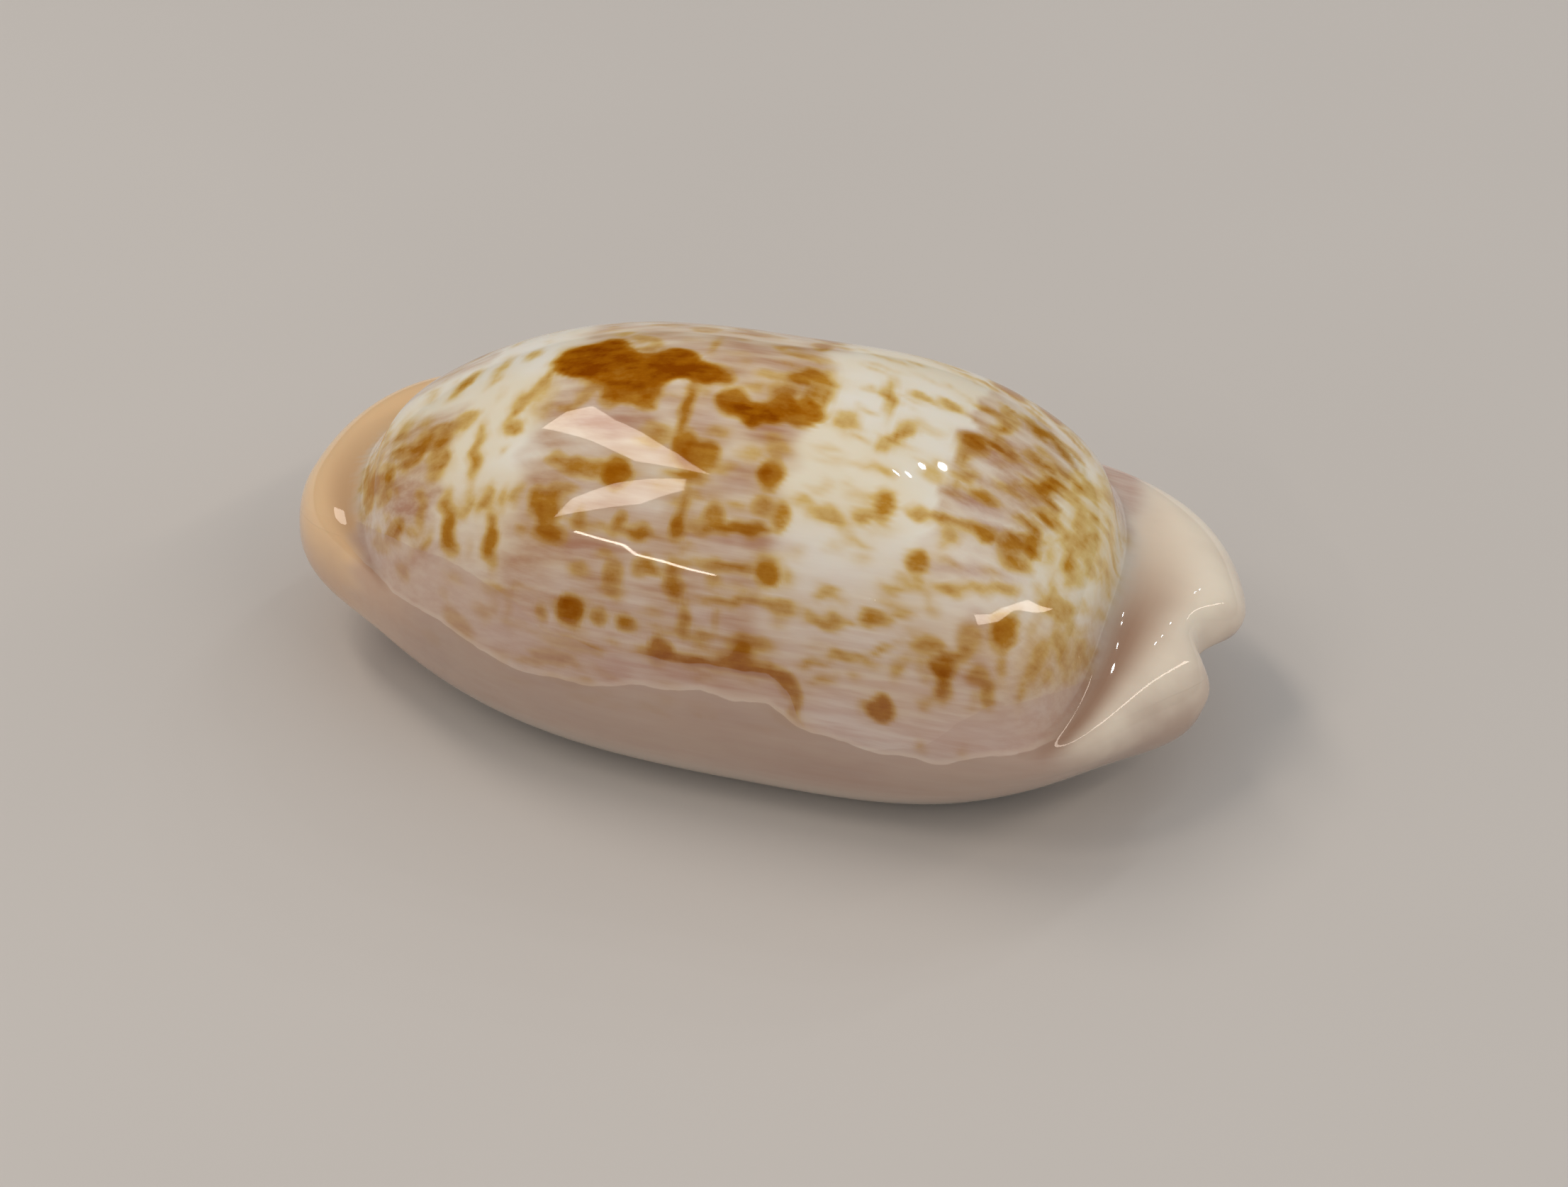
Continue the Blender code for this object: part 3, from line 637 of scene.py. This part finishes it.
@dataclass
class Markings:
    """The colours that the mantle laid down, with painted shade in the creases and down the flanks and a
    painted reflection strip, as one value a layer at each point.
    """

    seed: int = 11
    axis: tuple = (-0.276, 4.6)         # y and z of the line that distance round is measured about
    girth_radius: float = 8.2
    waver: Waves = Waves(0.10, 1.1)     # shifts the marks
    soft: float = 0.17                  # breadth of the marks' soft edges
    soft_mauve: float = 0.3
    thin: float = 0.6                   # how much thinner the small marks lie than the patch
    haze: tuple = (0.1, 0.6)            # strength and breadth of the faint colour round each mark
    # the bands: middle and half breadth along, then where they start and end round the back
    bands: tuple = ((-11.2, 1.5, 2.4, 10.0), (-2.4, 4.25, 0.0, 13.0), (8.3, 1.6, 0.0, 7.5))
    band_edge: tuple = (1.12, 0.9)      # where a band starts and is full, in half breadths
    band_lean: float = 0.03
    band_waves: Waves = Waves(0.24, 1.4)
    band_colour: tuple = (0.1, 0.7)     # share of pigment and of mauve in a band
    clouds: Waves = Waves(0.6, 0.9)     # gather and thin the colour of the bands
    band_least: float = 0.35            # what a band keeps where it is thinnest
    mauve_under: float = 0.7            # how much of the mauve full pigment takes away
    rear_tan: float = 0.2               # pigment spread thin over the rear of the back
    rear_tan_along: tuple = (8.2, 10.0)
    rear_tan_around: tuple = (6.0, 2.0)
    # mauve down the flanks, deepened as painted shade where less light reaches the lower flank
    flank_mauve_and_shade: float = 0.68           # how far the ground turns mauve down the flanks
    flank_mauve_and_shade_around: tuple = (4.0, 12.0)
    # upper edge of the painted reflection strip along the lower flank, as pairs of along and round
    reflection_strip_edge: tuple = ((-12.8, 8.6), (-11.0, 8.7), (-9.5, 8.9), (-8.0, 9.2), (-6.4, 9.9), (-5.2, 10.75),
                        (-3.0, 11.0), (0.0, 10.8), (2.2, 10.75), (2.9, 11.3), (3.5, 12.5), (5.5, 13.0),
                        (7.2, 12.6), (8.4, 11.3), (9.4, 10.5), (10.6, 10.3), (12.2, 10.2))
    callus_edge: tuple = ((-13.5, 9.8), (-12.4, 10.6), (-11.0, 11.3), (-10.4, 11.3), (-9.0, 11.6),
                          (-7.6, 12.2), (-6.0, 12.45), (-4.0, 12.4), (-2.0, 12.0), (0.0, 11.8),
                          (2.2, 11.9), (3.3, 12.4), (4.6, 12.85), (6.2, 13.1), (8.0, 12.95),
                          (10.0, 12.3), (12.2, 11.8))
    lip_edge: float = 12.6              # where the callus of the lip side starts
    # the fray waves wobble the edges of the painted reflection strip and of the callus
    fray: tuple = (Waves(0.12, 2.4), Waves(0.03, 0.6))  # of the veil's and the callus's edge
    # places among the rings: 7 is the crease, 8 to 12 collars and flanks, 13 and 14 the base, 16 the slit
    collar_rings: tuple = (6.85, 7.3)
    collar_fray: Waves = Waves(0.1, 1.2)
    marked_rings: tuple = (12.5, 11.0)
    inside_rings: tuple = (16.0, 17.5)
    body_ends: tuple = (11.9, 12.9)     # how far the marks reach toward the rear and the front
    end_blend: tuple = (-0.6, 0.5)
    end_waves: Waves = Waves(0.35, 3.0)
    tint_along: tuple = (-9.0, -13.5)   # where the front end's colour starts and is full
    # painted shade in the creases behind the collars: its ring and breadth, where it fades in at each end,
    # and how faint it gets
    crease_ring: float = 7.35
    crease_width: float = 0.55
    crease_rear: tuple = (10.5, 11.9)
    crease_front: tuple = (-11.0, -12.0)
    crease_shares: tuple = (1.0, 0.6)   # at the rear and at the front
    crease_side: tuple = (4.0, -3.0)    # y where its colour is faint and where it is full
    crease_faint: float = 0.25

    def chart(self, points: np.ndarray) -> tuple:
        """Place points on the back.

        Args:
            points: The points.

        Returns:
            How far each lies along the shell, and how far round it.
        """
        turn = np.arctan2(self.axis[0] - points[:, 1], points[:, 2] - self.axis[1])
        return points[:, 0], self.girth_radius * turn

    def layers(self, points: np.ndarray, place: np.ndarray) -> dict:
        """Work out every layer.

        Args:
            points: The points of the surface.
            place: Where each lies among the rings.

        Returns:
            The values of each layer.
        """
        draw = np.random.default_rng(self.seed)
        along, around = self.chart(points)
        flank = np.abs(around)
        warp_x = along + self.waver.at(along, around, draw)
        warp_g = around + self.waver.at(along, around, draw)
        outside = smooth(*self.marked_rings, place)
        end_x = np.where(along > 0, along - self.body_ends[0], -along - self.body_ends[1])
        end_x += self.end_waves.at(along, around, draw)
        collar = smooth(*self.collar_rings, place + self.collar_fray.at(along, around, draw))
        collar *= smooth(*self.end_blend, end_x)
        frayed = around + sum(waves.at(along, around, draw) for waves in self.fray)
        marks = [*FRONT_MARKS, *MIDDLE_MARKS, *REAR_MARKS, *FAR_MARKS]
        for patch in SCATTERED:
            marks += patch.marks(draw)
        lean = warp_x + self.band_lean * around + self.band_waves.at(along, around, draw)
        cloud = np.clip(0.5 + self.clouds.at(0.5 * along, around, draw), 0.0, 1.0)
        band = self.band_share(lean, flank) * (self.band_least + (1.0 - self.band_least) * cloud)
        strength, breadth = self.haze
        pigment = self.thin * pile(marks, warp_x, warp_g, self.soft)
        pigment += strength * pile(marks, warp_x, warp_g, breadth) + self.band_colour[0] * band
        rear = smooth(*self.rear_tan_along, along) * smooth(*self.rear_tan_around, flank)
        pigment += self.rear_tan * cloud * rear
        pigment = 1.0 - (1.0 - pigment) * (1.0 - pile(PATCH_MARKS, warp_x, warp_g, self.soft))
        mauve = pile(MAUVE_MARKS, warp_x, warp_g, self.soft_mauve)
        mauve = 1.0 - (1.0 - mauve) * (1.0 - self.band_colour[1] * band)
        mauve *= 1.0 - self.mauve_under * pigment
        # painted shade: the ground turns darker mauve down the flanks
        mauve += self.flank_mauve_and_shade * smooth(*self.flank_mauve_and_shade_around, flank) * (1.0 - mauve)
        return {
            Layer.PIGMENT: pigment * (1.0 - collar) * outside,
            Layer.MAUVE_AND_SHADE: mauve * (1.0 - collar) * outside,
            Layer.COLLAR: np.maximum(collar, 1.0 - outside),
            Layer.REFLECTION_STRIP: self.past_edge(self.reflection_strip_edge, along, frayed),
            Layer.CALLUS: self.past_edge(self.callus_edge, along, frayed),
            Layer.TINT: smooth(*self.tint_along, along),
            Layer.SHADE: self.crease_shade(points, place),
            Layer.INSIDE: smooth(*self.inside_rings, place),
        }

    def band_share(self, lean: np.ndarray, flank: np.ndarray) -> np.ndarray:
        """How deep in a band each point lies.

        Args:
            lean: Places of the points along the shell, after the bands' lean and waves.
            flank: How far round from the middle of the back each lies, either way.

        Returns:
            Values from 0 to 1.
        """
        total = np.zeros_like(lean)
        for middle, half, start, end in self.bands:
            across = smooth(*self.band_edge, np.abs(lean - middle) / half)
            total += across * smooth(start - 1.2, max(start, 0.01), flank) * smooth(end, end - 5.0, flank)
        return total

    def past_edge(self, edge: tuple, along: np.ndarray, around: np.ndarray) -> np.ndarray:
        """How far each point lies past an edge, toward the base.

        Args:
            edge: Points of the edge on the columella side.
            along: Places of the points along the shell.
            around: Places of the points round the shell.

        Returns:
            Distances, below 0 on the side of the back.
        """
        near = around - np.interp(along, [spot[0] for spot in edge], [spot[1] for spot in edge])
        return np.where(around > 0, near, -around - self.lip_edge)

    def crease_shade(self, points: np.ndarray, place: np.ndarray) -> np.ndarray:
        """Painted shade, brown-mauve, that darkens the creases behind the collars.

        Args:
            points: The points of the surface.
            place: Where each lies among the rings.

        Returns:
            Values from 0 to 1.
        """
        near = np.exp(-((place - self.crease_ring) / self.crease_width) ** 2)
        ends = (self.crease_shares[0] * smooth(*self.crease_rear, points[:, 0])
                + self.crease_shares[1] * smooth(*self.crease_front, points[:, 0]))
        side = smooth(*self.crease_side, points[:, 1])
        return near * ends * (self.crease_faint + (1.0 - self.crease_faint) * side)

    def lay(self, mesh: bpy.types.Mesh, points: np.ndarray, place: np.ndarray) -> None:
        """Store every layer on the mesh.

        Args:
            mesh: The mesh.
            points: Its points in millimetres.
            place: Where each lies among the rings.
        """
        for layer, values in self.layers(points, place).items():
            stored = mesh.attributes.new(layer.value, "FLOAT", "POINT")
            stored.data.foreach_set("value", values.astype(np.float32))


def linear(colour: tuple) -> tuple:
    """Turn a colour of 0 to 255 as it is seen into the linear values that a shader takes."""
    shares = [part / 255.0 for part in colour]
    return tuple(s / 12.92 if s <= 0.04045 else ((s + 0.055) / 1.055) ** 2.4 for s in shares) + (1.0,)


class Board:
    """The nodes of one material, wired up by short calls."""

    def __init__(self, name: str) -> None:
        """Start an empty material.

        Args:
            name: Name of the material.
        """
        self.material = bpy.data.materials.new(name)
        self.material.use_nodes = True
        self.tree = self.material.node_tree
        self.tree.nodes.clear()

    def add(self, kind: str, inputs: dict, **settings: object) -> bpy.types.Node:
        """Add one node.

        Args:
            kind: Its type, without the leading ShaderNode.
            inputs: Values or sockets for its inputs, by name or number.
            settings: Its own settings.

        Returns:
            The node.
        """
        node = self.tree.nodes.new("ShaderNode" + kind)
        for key, value in settings.items():
            setattr(node, key, value)
        for key, value in inputs.items():
            if isinstance(value, bpy.types.NodeSocket):
                self.tree.links.new(value, node.inputs[key])
            else:
                node.inputs[key].default_value = value
        return node

    def place(self, stretch: tuple = (1.0, 1.0, 1.0)) -> bpy.types.NodeSocket:
        """Object coordinates in millimetres.

        Args:
            stretch: How much longer things get along each axis.

        Returns:
            The coordinates.
        """
        where = self.add("TexCoord", {}).outputs["Object"]
        scale = tuple(1.0 / (MM * part) for part in stretch)
        return self.add("Mapping", {"Vector": where, "Scale": scale}).outputs[0]

    def noise(self, size: float, stretch: tuple = (1.0, 1.0, 1.0), detail: float = 3.0,
              roughness: float = 0.55) -> bpy.types.NodeSocket:
        """Noise whose lumps are about size millimetres across, longer where it is stretched."""
        return self.add("TexNoise", {"Vector": self.place(stretch), "Scale": 0.5 / size, "Detail": detail,
                                     "Roughness": roughness}).outputs[0]

    def layer(self, layer: Layer) -> bpy.types.NodeSocket:
        """One layer of the surface."""
        return self.add("Attribute", {}, attribute_name=layer.value).outputs["Fac"]

    def calc(self, operation: str, *values: object) -> bpy.types.NodeSocket:
        """One sum of numbers or sockets."""
        return self.add("Math", dict(enumerate(values)), operation=operation).outputs[0]

    def map(self, value: bpy.types.NodeSocket, start: tuple,
            end: tuple = (0.0, 1.0)) -> bpy.types.NodeSocket:
        """Map a value smoothly from one range to another, held at its ends."""
        inputs = {0: value, 1: start[0], 2: start[1], 3: end[0], 4: end[1]}
        return self.add("MapRange", inputs, interpolation_type="SMOOTHSTEP").outputs[0]

    def mix(self, share: object, first: object, second: object,
            blend: str = "MIX") -> bpy.types.NodeSocket:
        """Mix two colours."""
        return self.add("Mix", {0: share, 6: first, 7: second}, data_type="RGBA", blend_type=blend,
                        clamp_factor=True).outputs[2]

    def ramp(self, value: bpy.types.NodeSocket, stops: tuple) -> bpy.types.NodeSocket:
        """Colours along a scale.

        Args:
            value: Place on the scale.
            stops: Pairs of a place and a colour.

        Returns:
            The colour.
        """
        node = self.add("ValToRGB", {0: value})
        points = node.color_ramp.elements
        while len(points) < len(stops):
            points.new(1.0)
        for point, (where, colour) in zip(points, stops):
            point.position = where
            point.color = linear(colour)
        return node.outputs[0]


@dataclass(frozen=True)
class ShellGlaze:
    """Porcelain-like glaze of the shell, with its colours as they are seen."""

    ground: tuple = (252, 250, 239)
    ground_warm: tuple = (248, 238, 210)
    mauve: tuple = (196, 154, 144)      # what the ground is dimmed to under full mauve
    pigment: tuple = ((0.0, (255, 255, 255)), (0.25, (236, 212, 154)), (0.5, (204, 152, 60)),
                      (0.75, (182, 114, 16)), (1.0, (152, 80, 4)))
    # painted reflection strip along the lower flank, in a colour darkened as painted shade
    reflection_strip: tuple = (200, 168, 152)
    # callus colour, real, darkened as painted shade of the lower flank
    callus: tuple = (190, 165, 148)
    bloom: tuple = (170, 138, 126)      # clouds in the callus
    base: tuple = (238, 224, 208)       # the callus underneath
    # painted highlight: a thin light line just above the callus's raised edge
    edge: tuple = (240, 222, 202)
    top_rear: tuple = (255, 244, 224)   # the upper parts of the collars
    top_front: tuple = (250, 212, 162)
    collar_front: tuple = (220, 182, 150)
    # painted shade: the brown-mauve that darkens the creases behind the collars
    crease: tuple = (150, 108, 82)
    inside: tuple = (196, 178, 184)
    reflection_strip_cover: float = 0.42
    callus_cover: float = 0.78
    edge_highlight_cover: float = 0.4
    collar_cover: float = 0.95
    crease_shade_cover: float = 0.85
    warm_cover: float = 0.65
    bloom_cover: float = 0.45
    base_cover: float = 0.75
    base_heights: tuple = (0.8, 3.0)    # millimetres, where the base's own colour is full and ends
    top_heights: tuple = (4.5, 7.5)     # millimetres, where the collars' upper colour starts and is full
    mottle: tuple = (0.84, 1.14)        # least and most that the fine grain makes of the pigment
    strokes: tuple = (0.95, 1.06)       # the same for the strokes along the shell
    mauve_strokes: tuple = (0.82, 1.14)
    roughness: float = 0.2
    coat_roughness: float = 0.03

    def build(self) -> bpy.types.Material:
        """Wire up the material.

        Returns:
            The material.
        """
        board = Board("shell_glaze")
        colour = self.markings(board)
        colour = self.callus_over(board, colour)
        # painted shade darkening the creases behind the collars
        shade = board.calc("MULTIPLY", board.layer(Layer.SHADE), self.crease_shade_cover)
        colour = board.mix(shade, colour, linear(self.crease))
        colour = board.mix(board.layer(Layer.INSIDE), colour, linear(self.inside))
        swell = board.noise(1.6, (2.5, 1.0, 1.0), 2.0)
        grain = board.noise(0.12, (3.0, 1.0, 1.0), 2.0)
        height = board.calc("ADD", swell, board.calc("MULTIPLY", grain, 0.02))
        step = board.map(board.layer(Layer.CALLUS), (-0.12, 0.02), (0.0, 0.25))
        height = board.calc("SUBTRACT", height, step)
        bump = board.add("Bump", {"Height": height, "Strength": 0.5, "Distance": 0.00006}).outputs[0]
        rough = board.map(board.noise(0.5), NOISE_SPAN, (self.roughness - 0.03, self.roughness + 0.05))
        shader = board.add("BsdfPrincipled", {
            "Base Color": colour, "Roughness": rough, "IOR": 1.55, "Specular IOR Level": 0.0, "Normal": bump,
            "Coat Weight": 1.0, "Coat Roughness": self.coat_roughness, "Coat IOR": 1.5,
            "Subsurface Weight": 0.12, "Subsurface Radius": (1.0, 0.6, 0.4), "Subsurface Scale": 0.0006})
        board.add("OutputMaterial", {"Surface": shader.outputs[0]})
        return board.material

    def markings(self, board: Board) -> bpy.types.NodeSocket:
        """Ground, mauve and pigment of the back, the mauve deepened as painted shade down the flanks.

        Args:
            board: The material's nodes.

        Returns:
            The colour.
        """
        warm = board.map(board.noise(1.8, (1.6, 1.0, 1.0)), (0.42, 0.66), (0.0, self.warm_cover))
        brush = board.noise(0.14, (9.0, 1.0, 1.0), 3.0)
        mottle = board.noise(0.28, (1.4, 1.0, 1.0), 4.0, 0.62)
        colour = board.mix(warm, linear(self.ground), linear(self.ground_warm))
        strokes = board.map(brush, NOISE_SPAN, self.mauve_strokes)
        mauve = board.calc("MULTIPLY", board.layer(Layer.MAUVE_AND_SHADE), strokes)
        colour = board.mix(mauve, colour, linear(self.mauve), "MULTIPLY")
        grain = board.map(mottle, NOISE_SPAN, self.mottle)
        thick = board.calc("MULTIPLY", board.layer(Layer.PIGMENT), grain)
        thick = board.calc("MULTIPLY", thick, board.map(brush, NOISE_SPAN, self.strokes))
        return board.mix(1.0, colour, board.ramp(thick, self.pigment), "MULTIPLY")

    def callus_over(self, board: Board, colour: bpy.types.NodeSocket) -> bpy.types.NodeSocket:
        """Lay the callus of the collars, flanks and base over the markings, with the painted reflection
        strip, the painted highlight along the callus's edge and colours darkened as painted shade of the
        lower flank.

        Args:
            board: The material's nodes.
            colour: The colour beneath.

        Returns:
            The colour.
        """
        bloom = board.map(board.noise(1.5, (2.2, 1.0, 1.0)), (0.42, 0.7), (0.0, self.bloom_cover))
        callus = board.mix(bloom, linear(self.callus), linear(self.bloom))
        height = board.add("SeparateXYZ", {0: board.place()}).outputs[2]
        under = board.map(height, self.base_heights, (self.base_cover, 0.0))
        callus = board.mix(under, callus, linear(self.base))
        flank = board.mix(board.layer(Layer.TINT), callus, linear(self.collar_front))
        tops = board.mix(board.layer(Layer.TINT), linear(self.top_rear), linear(self.top_front))
        cloud = board.calc("MULTIPLY", board.noise(1.2, (1.8, 1.0, 1.0)), 2.0)
        ends = board.mix(board.map(board.calc("ADD", height, cloud), self.top_heights), flank, tops)
        # painted reflection strip along the lower flank, darkened as painted shade
        reflection_strip = board.map(board.layer(Layer.REFLECTION_STRIP), (-0.03, 0.04), (0.0, self.reflection_strip_cover))
        colour = board.mix(reflection_strip, colour, linear(self.reflection_strip))
        past = board.layer(Layer.CALLUS)
        # painted highlight along the callus's raised edge
        rise = board.map(past, (-0.30, -0.02), (0.0, self.edge_highlight_cover))
        fall = board.map(past, (0.0, 0.05), (1.0, 0.0))
        colour = board.mix(board.calc("MULTIPLY", rise, fall), colour, linear(self.edge))
        colour = board.mix(board.map(past, (-0.01, 0.05), (0.0, self.callus_cover)), colour, flank)
        collar = board.calc("MULTIPLY", board.layer(Layer.COLLAR), self.collar_cover)
        return board.mix(collar, colour, ends)


@dataclass
class Shell:
    """The one piece: form, markings and glaze."""

    form: ShellForm = field(default_factory=ShellForm)
    markings: Markings = field(default_factory=Markings)
    glaze: ShellGlaze = field(default_factory=ShellGlaze)

    def build(self) -> bpy.types.Object:
        """Model the shell and lay its colours.

        Returns:
            The shell.
        """
        mesh, points, place = self.form.build("cowrie")
        self.markings.lay(mesh, points, place)
        shell = bpy.data.objects.new("cowrie", mesh)
        bpy.context.scene.collection.objects.link(shell)
        return shell

    def dress(self, shell: bpy.types.Object) -> None:
        """Give the shell its glaze and its place in the frame.

        Args:
            shell: The shell.
        """
        shell.data.materials.append(self.glaze.build())
        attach(shell, "root")
        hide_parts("shell")


def heading(azimuth: float, elevation: float) -> Vector:
    """Direction from the shell, by degrees round from the near side and degrees above the floor."""
    turn, rise = math.radians(azimuth), math.radians(elevation)
    return Vector((math.sin(turn) * math.cos(rise), -math.cos(turn) * math.cos(rise), math.sin(rise)))


@dataclass(frozen=True)
class GlowPanel:
    """A flat studio light of any outline."""

    name: str
    corners: tuple          # directions of the corners from the shell, in degrees
    glow: float
    colour: tuple = (255, 238, 222)
    distance: float = 0.35  # metres

    def build(self, target: Vector) -> bpy.types.Object:
        """Hang the panel round the target.

        Args:
            target: The point that it lights.

        Returns:
            The panel.
        """
        sheet = bmesh.new()
        rim = [sheet.verts.new(target + heading(*corner) * self.distance) for corner in self.corners]
        face = sheet.faces.new(rim)
        bmesh.ops.triangulate(sheet, faces=[face])
        mesh = bpy.data.meshes.new(self.name)
        sheet.to_mesh(mesh)
        sheet.free()
        board = Board(self.name)
        light = board.add("Emission", {"Color": linear(self.colour), "Strength": self.glow})
        board.add("OutputMaterial", {"Surface": light.outputs[0]})
        mesh.materials.append(board.material)
        panel = bpy.data.objects.new(self.name, mesh)
        bpy.context.scene.collection.objects.link(panel)
        return panel


@dataclass(frozen=True)
class SmallLamp:
    """A small bright bulb."""

    azimuth: float
    elevation: float
    power: float = 0.045        # watts
    radius: float = 0.004       # metres
    distance: float = 0.35      # metres

    def build(self, target: Vector) -> bpy.types.Object:
        """Hang the lamp.

        Args:
            target: The point that it lights.

        Returns:
            The lamp.
        """
        bulb = bpy.data.lights.new("small_lamp", "POINT")
        bulb.energy = self.power
        bulb.shadow_soft_size = self.radius
        lamp = bpy.data.objects.new("small_lamp", bulb)
        lamp.location = target + heading(self.azimuth, self.elevation) * self.distance
        bpy.context.scene.collection.objects.link(lamp)
        return lamp


@dataclass
class Studio:
    """Pale floor, soft lights and the camera."""

    target: tuple = (0.596, -0.276, 7.0)    # millimetres, the point that the camera is set out from
    azimuth: float = 13.5                   # degrees
    elevation: float = 36.0
    roll: float = -1.2
    distance: float = 160.0                 # millimetres
    aim: tuple = (0.16, -2.44)              # millimetres right and up from the target to mid picture
    lens: float = 111.2
    floor_size: float = 1.6                 # metres
    floor_colour: tuple = (214, 212, 208)
    sky: tuple = (0.43, 0.432, 0.442)
    lights: tuple = (
        GlowPanel("long_window", ((-110, 45), (-121, 45), (-125, 48), (-112, 59), (-97, 67), (-65, 72),
                                  (-41, 70), (-61, 65), (-93, 58)), 6.0),
        GlowPanel("near_window", ((-45, 39), (-49, 47), (-48, 57), (-43, 63), (-39, 66), (-33, 62),
                                  (-33, 53), (-40, 45)), 6.0),
        GlowPanel("gap_under_blind", ((-36, 36.8), (-30, 36.5), (-25, 36.3), (-22, 33.6), (-19, 33.3),
                                      (-16, 32.2), (-14, 31.7), (-14, 31.1), (-16, 31.4), (-19, 32.5),
                                      (-22, 32.8), (-25, 35.4), (-30, 35.8), (-36, 36.0)), 20.0),
        GlowPanel("side_window", ((38, 46), (43, 51), (75, 49), (97, 44), (120, 29), (124, 20), (106, 37),
                                  (78, 45)), 7.0),
        SmallLamp(157, 53), SmallLamp(156, 48), SmallLamp(157.5, 41), SmallLamp(156, 37),
    )

    def build(self) -> None:
        """Set up the floor, the lights, the sky and the camera."""
        self.add_floor()
        for light in self.lights:
            light.build(Vector(self.target) * MM)
        self.add_sky()
        self.add_camera()

    def add_floor(self) -> None:
        """Lay the floor."""
        grid = bmesh.new()
        bmesh.ops.create_grid(grid, x_segments=1, y_segments=1, size=0.5 * self.floor_size)
        mesh = bpy.data.meshes.new("floor")
        grid.to_mesh(mesh)
        grid.free()
        board = Board("floor_paper")
        tone = board.map(board.noise(30.0), NOISE_SPAN, (0.96, 1.0))
        colour = board.mix(1.0, linear(self.floor_colour), tone, "MULTIPLY")
        shader = board.add("BsdfPrincipled", {"Base Color": colour, "Roughness": 0.75})
        board.add("OutputMaterial", {"Surface": shader.outputs[0]})
        mesh.materials.append(board.material)
        floor = bpy.data.objects.new("floor", mesh)
        bpy.context.scene.collection.objects.link(floor)

    def add_sky(self) -> None:
        """Fill the room with even light."""
        world = bpy.data.worlds.new("room")
        world.use_nodes = True
        world.node_tree.nodes["Background"].inputs[0].default_value = (*self.sky, 1.0)
        world.cycles_visibility.glossy = False
        bpy.context.scene.world = world

    def add_camera(self) -> None:
        """Point the camera as the picture was taken."""
        turn = math.radians(self.azimuth)
        back = heading(self.azimuth, self.elevation)
        right = Vector((math.cos(turn), math.sin(turn), 0.0))
        above = back.cross(right)
        tilt = math.radians(self.roll)
        side = right * math.cos(tilt) - above * math.sin(tilt)
        top = right * math.sin(tilt) + above * math.cos(tilt)
        target = Vector(self.target)
        place = target + back * self.distance
        middle = target + side * self.aim[0] + top * self.aim[1]
        depth = (place - middle).normalized()
        side = top.cross(depth).normalized()
        top = depth.cross(side)
        lens = bpy.data.cameras.new("camera")
        lens.lens = self.lens
        lens.sensor_width = 36.0
        lens.clip_start, lens.clip_end = 0.01, 10.0
        camera = bpy.data.objects.new("camera", lens)
        turned = Matrix((side, top, depth)).transposed().to_4x4()
        camera.matrix_world = Matrix.Translation(place * MM) @ turned
        bpy.context.scene.collection.objects.link(camera)
        bpy.context.scene.camera = camera


def main() -> None:
    """Build the shell and the studio in order and report each."""
    logging.basicConfig(level=logging.INFO, format="%(name)s: %(message)s")
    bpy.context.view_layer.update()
    shell = Shell()
    piece = shell.build()
    shell.dress(piece)
    log.info("%s: %d faces", piece.name, len(piece.data.polygons))
    Studio().build()
    bpy.context.scene.view_settings.view_transform = "Standard"
    log.info("studio: floor, lights and camera")


if __name__ == "__main__":
    main()
